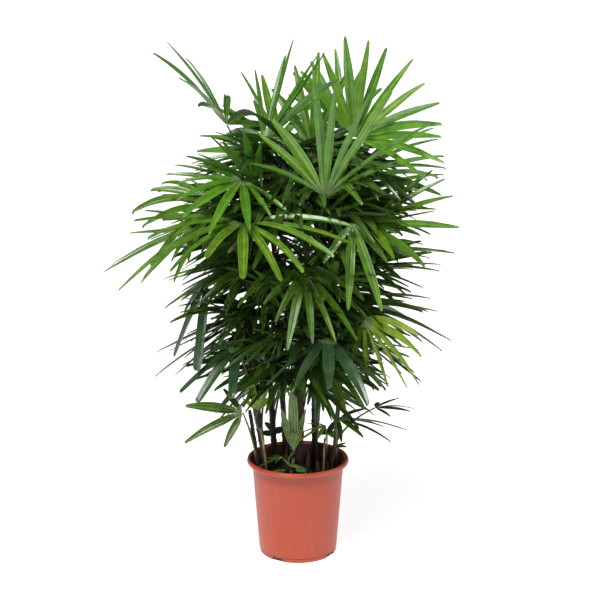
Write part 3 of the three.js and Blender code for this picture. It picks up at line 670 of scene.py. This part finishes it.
def petiole_line(frond, sway):
    """The root, bend and hub of a petiole, by the source's rule."""
    root = frond["root"] if "root" in frond else petiole_root(frond)
    hub = vector(*frond["hub"])
    span = hub - root
    arch = root + PETIOLE["bend_at"] * span + Z * PETIOLE["arch"] * np.linalg.norm(span)
    aim = math.radians(frond["aim"])
    return root, arch + vector(-math.sin(aim), math.cos(aim), 0) * sway, hub


def sway_taken(frond, corners):
    """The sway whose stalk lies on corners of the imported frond."""
    thick = min(PETIOLE["packed_root"], PETIOLE["of_cane"] * CANES[frond["cane"]][3])
    radius = (thick + min(PETIOLE["packed_tip"], thick)) / 2
    misses = []
    for sway in SWAYS:
        places, aheads = bezier(*petiole_line(frond, sway), [0.5])
        ring = tube(places, aheads, radius, 3)[0]
        misses.append(max(np.linalg.norm(corners - point, axis=1).min() for point in ring))
    return SWAYS[int(np.argmin(misses))]


def bend_taken(frond, seed, k, corners):
    """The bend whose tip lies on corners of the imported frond, or None where it has no leaflet."""
    for bend in LEAFLET_BENDS:
        plan = leaflet_plan(frond, seed, k, bend)
        centre, across, _ = leaflet_line(frond, plan, 1, plan["twist"])
        half = plan["wide"] * frond.get("tip", LEAFLET["tip"]) / 2
        tips = [centre + s * across * half for s in (-1, 1)]
        if all(np.linalg.norm(corners - tip, axis=1).min() < FOUND_WITHIN for tip in tips):
            return bend
    return None


def leaflet_blade(frond, k, plan, dice):
    """The ribbed blade of leaflet k: rows of points from the hub to the toothed tip."""
    hub = vector(*frond["hub"])
    across = np.linspace(-1, 1, BLADE["across"] + 1)
    throat = LEAFLET["throat"] * frond["long"] / plan["long"]
    keel = hub + plan["direction"] * LEAFLET["throat"] * frond["long"]
    keel = keel - fan_frame(frond)[2] * LEAFLET["keel"] * frond["long"]
    left, right = fold_point(frond, k + 1), fold_point(frond, k)
    root = np.where(across[:, None] < 0, keel + (left - keel) * -across[:, None],
                    keel + (right - keel) * across[:, None])
    middle_rows = np.linspace(throat, 0.97, BLADE["along"] - 1)[1:]
    rows = np.concatenate([[0.25 * throat, throat], middle_rows, [1.0]])
    tip = frond.get("point", frond.get("tip", LEAFLET["tip"]))
    ends = np.array([throat, 0.2, 0.34, 0.5, 0.68, 0.84, 0.95, 1.0])
    widths = np.interp(rows, ends, [
        0.3, 0.74, 0.96, 1.0, 0.88, 0.4 + 0.6 * tip, 0.12 + 0.88 * tip, 0.6 * tip])
    teeth = dice.uniform(0, BLADE["teeth"], len(across)) / plan["long"] + 0.012 * np.abs(across) ** 3
    ridge = np.where(np.arange(len(across)) % 2, 1.0, -1.0)
    wave, lift = dice.normal(0, BLADE["wave"], 2) * plan["long"]
    phase, curl = dice.uniform(0, 6.3), dice.normal(0, BLADE["curl"])
    points = np.empty((len(rows), len(across), 3))
    for i, t in enumerate(rows):
        centre, side, up = leaflet_line(frond, plan, t, plan["twist"] + curl * t * t)
        half = plan["wide"] * frond.get("slim", 1) * widths[i] / 2
        depth = min(BLADE["fold"] * LEAFLET["keel"] * plan["long"] * (1 - 0.45 * t), 0.55 * half)
        profile = depth * (np.abs(across) - 1) + BLADE["ridge"] * ridge * min(1, half / 6)
        waved = side * wave * t * math.sin(5 * t + phase)
        lifted = up * lift * t * math.sin(4 * t + 2 * phase)
        centre = centre + waved + lifted
        blade = centre + side * half * across[:, None] + up * profile[:, None]
        if t == 1.0:
            blade -= plan["direction"] * (teeth * plan["long"])[:, None]
        open_fan = hub + (root - hub) * t / throat
        part = np.clip((t - throat) / BLADE["opens"], 0, 1)
        part = part * part * (3 - 2 * part)
        points[i] = open_fan * (1 - part) + blade * part
    return points


def leaf_finish(name, colour, roughness):
    """A glossy leaf skin with faint mottling and a fine grain."""
    leaf = Finish(name, colour, roughness)
    mottle = leaf.noise(38, 3)
    paler = tuple(min(1, c * f) for c, f in zip(colour, (1.35, 1.22, 1.3)))
    deeper = tuple(c * f for c, f in zip(colour, (0.70, 0.76, 0.72)))
    leaf.feed("Base Color", leaf.mix(leaf.steps(mottle, 0.3, 0.7), deeper, paler))
    leaf.feed("Roughness", roughness - 0.05 + mottle * 0.12)
    leaf.relief(leaf.noise(420, 2), 0.0003, 0.5)
    leaf.shader.inputs["Specular IOR Level"].default_value = 0.6
    return leaf


# The third colour of each list also paints darker stripes, painted shade of the pleats, on leaflets of
# the others.
LEAF_COLOURS = {
    "bright": [(0.081, 0.240, 0.011), (0.109, 0.281, 0.014), (0.061, 0.196, 0.010),
               (0.145, 0.309, 0.017), (0.049, 0.133, 0.019)],
    "mid": [(0.078, 0.196, 0.011), (0.100, 0.235, 0.013), (0.061, 0.156, 0.011),
            (0.136, 0.271, 0.015), (0.047, 0.119, 0.019)],
    "dark": [(0.039, 0.091, 0.010), (0.054, 0.118, 0.011), (0.031, 0.073, 0.010),
             (0.082, 0.160, 0.012), (0.130, 0.217, 0.022)],
    "blue": [(0.040, 0.090, 0.032), (0.054, 0.114, 0.040), (0.032, 0.074, 0.028), (0.051, 0.106, 0.024)],
    "young": [(0.187, 0.308, 0.020), (0.237, 0.352, 0.026), (0.143, 0.259, 0.018), (0.286, 0.385, 0.040)],
}
PLEAT_SHADE_STRIPES = dict(columns=[1, 4, 6], shade=2, on_itself=0)
DRY = dict(tip=0.07, end=0.02)
dry_tip = leaf_finish("dry_leaf_tip", (0.20, 0.165, 0.060), 0.6)
pale_base = leaf_finish("pale_leaf_base", (0.13, 0.24, 0.06), 0.42)


def leaf_finishes(name, colours, roughness):
    """A finish for each colour, then the dry tip's and the pale base's."""
    greens = [leaf_finish(f"{name}_{n + 1}", colour, roughness) for n, colour in enumerate(colours)]
    return [*greens, dry_tip, pale_base]


def tint_of(frond, number):
    """The list of colours of a frond, by its number or else by its height."""
    for tint in ("young", "blue"):
        if number in TINTS[tint]:
            return tint
    if frond["hub"][2] > TINTS["bright_above"]:
        return "bright"
    return "mid" if frond["hub"][2] > TINTS["mid_above"] else "dark"


def leaflet_part(frond, k, plan, dice, shades):
    """One leaflet as (points, faces, finish numbers): its green, stripes of painted shade, some dry tips.
    """
    points = leaflet_blade(frond, k, plan, dice)
    rows, columns = points.shape[:2]
    drawn = int(dice.integers(0, 4))
    shade = frond.get("shade", drawn)
    numbers = np.full((rows - 1, columns - 1), shade)
    # Some columns of the blade take a deeper green: painted shade between the pleats.
    numbers[:, PLEAT_SHADE_STRIPES["columns"]] = PLEAT_SHADE_STRIPES["on_itself" if shade == PLEAT_SHADE_STRIPES["shade"] else "shade"]
    if dice.random() < DRY["tip"]:
        numbers[-1] = shades
    if dice.random() < DRY["end"]:
        numbers[-2:] = shades
    numbers[:2] = shades + 1
    return points, grid_faces(rows, columns), numbers.ravel()


fronds = FRONT + list(hidden_fronds())
frond_names = [f"frond_{i + 1:02d}" for i in range(len(fronds))]
node_corners = []
for name in frond_names:
    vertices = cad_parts[name].data.vertices
    corners = np.empty(3 * len(vertices))
    vertices.foreach_get("co", corners)
    node_corners.append(corners.reshape(-1, 3) * 1000)
sways = [sway_taken(frond, corners) for frond, corners in zip(fronds, node_corners)]


def inner_fronds():
    """Younger fronds that fork off the petioles of hidden ones, by the source's rule."""
    for i in range(INNER["count"]):
        partner = len(FRONT) + INNER["partner"] + i
        older = fronds[partner]
        foot = petiole_root(older)
        aim = -90 + INNER["sweep"] * math.sin(SPIRAL * i + 1)
        reach = pick(50, 120, i, 61)
        turn = math.radians(aim)
        yield partner, dict(
            cane=older["cane"],
            root=bezier(*petiole_line(older, sways[partner]), [INNER["fork"]])[0][0],
            hub=(foot[0] + reach * math.cos(turn), foot[1] + reach * math.sin(turn),
                 older["hub"][2] - INNER["lower"]),
            aim=aim, rise=pick(-20, 40, i, 62), roll=pick(-30, 30, i, 63), count=9,
            spread=pick(150, 220, i, 64), long=pick(165, 225, i, 65))


grown = [(i, i, frond, sway) for i, (frond, sway) in enumerate(zip(fronds, sways))]
for i, (partner, frond) in enumerate(inner_fronds()):
    grown.append((partner, len(fronds) + i, frond, sway_taken(frond, node_corners[partner])))

leaflets = {tint: [] for tint in LEAF_COLOURS}
stands_for = {tint: [] for tint in LEAF_COLOURS}
for i, frond in enumerate(fronds):
    stands_for[tint_of(frond, i + 1)].append(frond_names[i])
for node, seed, frond, _ in grown:
    tint = tint_of(fronds[node], node + 1)
    dice = np.random.default_rng(1000 + seed)
    for k in range(frond["count"]):
        bend = bend_taken(frond, seed, k, node_corners[node])
        if bend:
            plan = leaflet_plan(frond, seed, k, bend)
            leaflets[tint].append(leaflet_part(frond, k, plan, dice, len(LEAF_COLOURS[tint])))
for tint, parts in leaflets.items():
    name = "leaflets_" + tint
    finishes = leaf_finishes("leaf_" + tint, LEAF_COLOURS[tint], 0.26)
    blades = new_piece(name, joined_mesh(name, parts), finishes)
    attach(blades, "root")
    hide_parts(*stands_for[tint])
    "leaf_" + tint


# Inner leaves: many older dark leaflets crowd the middle of the clump, where little light comes.
# Small fans stand for them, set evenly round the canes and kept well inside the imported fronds' reach.
FILL = dict(count=140, low=405, high=960, golden=137.5, thin=230, thickens=260, belly=(650, 850),
            wider=50, behind=25)
INSIDE = dict(band=60, beside=0.9, share=0.8, lowest=268)
# Their greens, as deep as the lowest fronds' at any height, are old leaves' deep green with painted shade
# of the crown's middle.
SHADED = [(0.038, 0.092, 0.012), (0.060, 0.143, 0.014), (0.029, 0.070, 0.010), (0.092, 0.195, 0.015)]
TALL_CANES = ("tall", "shade", "main", "inner", "backLeft", "backRight")


def filling_fans():
    """The inner fans, from the lowest up."""
    for i in range(FILL["count"]):
        height = FILL["low"] + (FILL["high"] - FILL["low"]) * i / (FILL["count"] - 1)
        aim = FILL["golden"] * i % 360
        turn = math.radians(aim)
        fullness = min(1, (height - FILL["thin"]) / FILL["thickens"])
        in_belly = FILL["belly"][0] < height < FILL["belly"][1]
        reach = pick(30, 125, i, 61) * fullness + (FILL["wider"] if in_belly else 0)
        depth = reach * math.sin(turn)
        behind = FILL["behind"] + (depth if depth > 0 else 0.5 * depth)
        hub = vector(reach * math.cos(turn), behind, height)
        share = 0.8 * (height - SOIL_TOP) / 600
        nearest = min(TALL_CANES, key=lambda cane: np.linalg.norm(
            bezier(*cane_line(cane), [share])[0][0][:2] - hub[:2]))
        yield dict(cane=nearest, hub=tuple(hub), aim=aim, rise=pick(-30, 40, i, 62),
                   roll=pick(-30, 30, i, 63), count=10, spread=pick(140, 210, i, 64),
                   long=pick(150, 235, i, 65) * (0.45 + 0.55 * fullness), drop=pick(90, 170, i, 66))


all_corners = np.concatenate(node_corners)
corner_turns = np.arctan2(all_corners[:, 1] - FILL["behind"], all_corners[:, 0])
corner_reaches = np.hypot(all_corners[:, 0], all_corners[:, 1] - FILL["behind"])


def within_crown(tip):
    """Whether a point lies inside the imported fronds' reach on its side and at its height."""
    turn = math.atan2(tip[1] - FILL["behind"], tip[0])
    near = np.abs(all_corners[:, 2] - tip[2]) < INSIDE["band"]
    near &= np.cos(corner_turns - turn) > INSIDE["beside"]
    if tip[2] <= INSIDE["lowest"] or not near.any():
        return False
    return math.hypot(tip[0], tip[1] - FILL["behind"]) < INSIDE["share"] * corner_reaches[near].max()


fans_inside = list(filling_fans())
inside_parts = []
for i, frond in enumerate(fans_inside):
    dice = np.random.default_rng(2000 + i)
    for k in range(frond["count"]):
        plan = leaflet_plan(frond, 100 + i, k, LEAFLET_BENDS[0])
        if within_crown(leaflet_line(frond, plan, 1, 0)[0]):
            inside_parts.append(leaflet_part(frond, k, plan, dice, len(SHADED)))
shaded = leaf_finishes("leaf_shaded", SHADED, 0.28)
half_way = len(inside_parts) // 2
halves = {
    "leaflets_inside_low": inside_parts[:half_way],
    "leaflets_inside_high": inside_parts[half_way:],
}
for name, parts in halves.items():
    inside = new_piece(name, joined_mesh(name, parts), shaded)
    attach(inside, "root")


# Petioles: the thin smooth stalks that carry the fans. Each leaves its cane inside a short
# sheath, climbs and then arches out to the hub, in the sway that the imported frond's stalk has.
stalk = Finish("petiole_green", (0.045, 0.105, 0.022), 0.38)
stalk_mottle = stalk.noise(45, 3, (1, 1, 0.3))
stalk.feed("Base Color", stalk.mix(stalk_mottle, (0.026, 0.070, 0.016), (0.085, 0.150, 0.032)))
stalk.relief(stalk.noise(300, 2), 0.0003)
stalk_foot = Finish("petiole_foot", (0.090, 0.060, 0.028), 0.7)
stalk_foot.relief(stalk_foot.noise(200, 3, (4, 4, 0.5)), 0.001)
STALK = dict(root=3.0, tip=1.9, sides=8, rows=22, collar=1.1, foot=0.12)
stalks = []
t = np.linspace(0, 1, STALK["rows"])
stalk_faces = grid_faces(STALK["rows"], STALK["sides"], closed=True)
foot_or_stalk = np.repeat((t[:-1] < STALK["foot"]).astype(int), STALK["sides"])
carried = [(frond, sway) for _, _, frond, sway in grown]
for frond, sway in carried + [(frond, 0) for frond in fans_inside]:
    places, aheads = bezier(*petiole_line(frond, sway), t)
    root = min(STALK["root"], PETIOLE["of_cane"] * CANES[frond["cane"]][3])
    radii = root + (min(STALK["tip"], root) - root) * t + STALK["collar"] * np.exp(-t * 16)
    stalks.append((tube(places, aheads, radii, STALK["sides"]), stalk_faces, foot_or_stalk))
petioles = new_piece("petioles", joined_mesh("petioles", stalks), [stalk, stalk_foot])
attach(petioles, "root")
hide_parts(*frond_names)


# Suckers: a few small leaves and papery brown stubs that push up through the potting mix round
# the foot of the clump. They are young growth and the torn ends of old sheaths.
SUCKERS = [
    dict(foot=(-40, -78), hub=(-30, -76, 226), aim=188, rise=-4, count=2, spread=40, long=58, wide=19),
    dict(foot=(84, 22), hub=(86, 20, 247), aim=-14, rise=22, count=2, spread=24, long=66, wide=24),
    dict(foot=(20, -80), hub=(16, -84, 226), aim=150, rise=30, count=3, spread=110, long=46, wide=15),
    dict(foot=(66, 60), hub=(70, 62, 262), aim=60, rise=30, count=3, spread=120, long=70, wide=20),
    dict(foot=(-50, 76), hub=(-56, 80, 258), aim=120, rise=25, count=3, spread=120, long=74, wide=20),
]
SUCKER_GREENS = [
    (0.030, 0.115, 0.018), (0.075, 0.200, 0.024), (0.020, 0.080, 0.016), (0.200, 0.280, 0.050)]
SUCKER_STALK = dict(root=2.4, tip=1.5, rows=8, sides=8, finish=3)
# Each stub has a place (x, y), a height and a radius.
STUBS = [(47, -46, 44, 6), (79, -8, 52, 6), (70, -26, 34, 5), (30, -66, 30, 5), (-26, -40, 58, 7),
         (22, -8, 50, 8), (-84, -46, 34, 5), (-34, 30, 46, 7), (8, 58, 52, 7), (60, 44, 40, 6),
         (-66, 30, 44, 6)]
STUB = dict(rows=12, sides=12, sunk=5)
sucker_parts = []
stalk_rows, stalk_sides = SUCKER_STALK["rows"], SUCKER_STALK["sides"]
for i, spec in enumerate(SUCKERS):
    dice = np.random.default_rng(3000 + i)
    for k in range(spec["count"]):
        plan = leaflet_plan(spec, 200 + i, k, LEAFLET_BENDS[0])
        plan["wide"] = spec["wide"]
        sucker_parts.append(leaflet_part(spec, k, plan, dice, len(SUCKER_GREENS)))
    foot, hub = vector(*spec["foot"], SOIL_TOP - 4), vector(*spec["hub"])
    places, aheads = bezier(
        foot, (foot + hub) / 2 + vector(2, -2, 6), hub, np.linspace(0, 1, stalk_rows))
    radii = np.linspace(SUCKER_STALK["root"], SUCKER_STALK["tip"], stalk_rows)
    sucker_parts.append((tube(places, aheads, radii, stalk_sides),
                         grid_faces(stalk_rows, stalk_sides, closed=True), SUCKER_STALK["finish"]))
sucker_leaves = new_piece("sucker_leaves", joined_mesh("sucker_leaves", sucker_parts),
                          leaf_finishes("sucker_green", SUCKER_GREENS, 0.38))
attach(sucker_leaves, "root")

papery = Finish("papery_sheath", (0.11, 0.050, 0.024), 0.7)
papery_streaks = papery.noise(80, 4, (4, 4, 0.4))
papery_shades = (0.018, 0.010, 0.007), (0.095, 0.046, 0.022)
papery.feed("Base Color", papery.mix(papery.steps(papery_streaks, 0.35, 0.7), *papery_shades))
papery.relief(papery_streaks, 0.001)
stub_parts = []
for x, y, tall, radius in STUBS:
    lean = rng.normal(0, 0.10, 2)
    t = np.linspace(0, 1, STUB["rows"])
    upward = vector(*lean, 1)
    places = vector(x, y, SOIL_TOP - STUB["sunk"]) + np.outer(t * (tall + STUB["sunk"]), upward)
    aheads = np.broadcast_to(upward / np.linalg.norm(upward), places.shape)
    ragged = rng.normal(0, 0.05, (STUB["rows"], STUB["sides"])) + rng.normal(0, 0.08, STUB["sides"])
    girth = radius * (1.05 - 0.75 * t[:, None] ** 1.5 + ragged)
    stub = tube(places, aheads, girth, STUB["sides"])
    stub[-1, :, 2] += rng.uniform(-7, 2, STUB["sides"])
    stub_parts.append((stub, grid_faces(STUB["rows"], STUB["sides"], closed=True), 0))
stubs = new_piece("sheath_stubs", joined_mesh("sheath_stubs", stub_parts), [papery])
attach(stubs, "root")
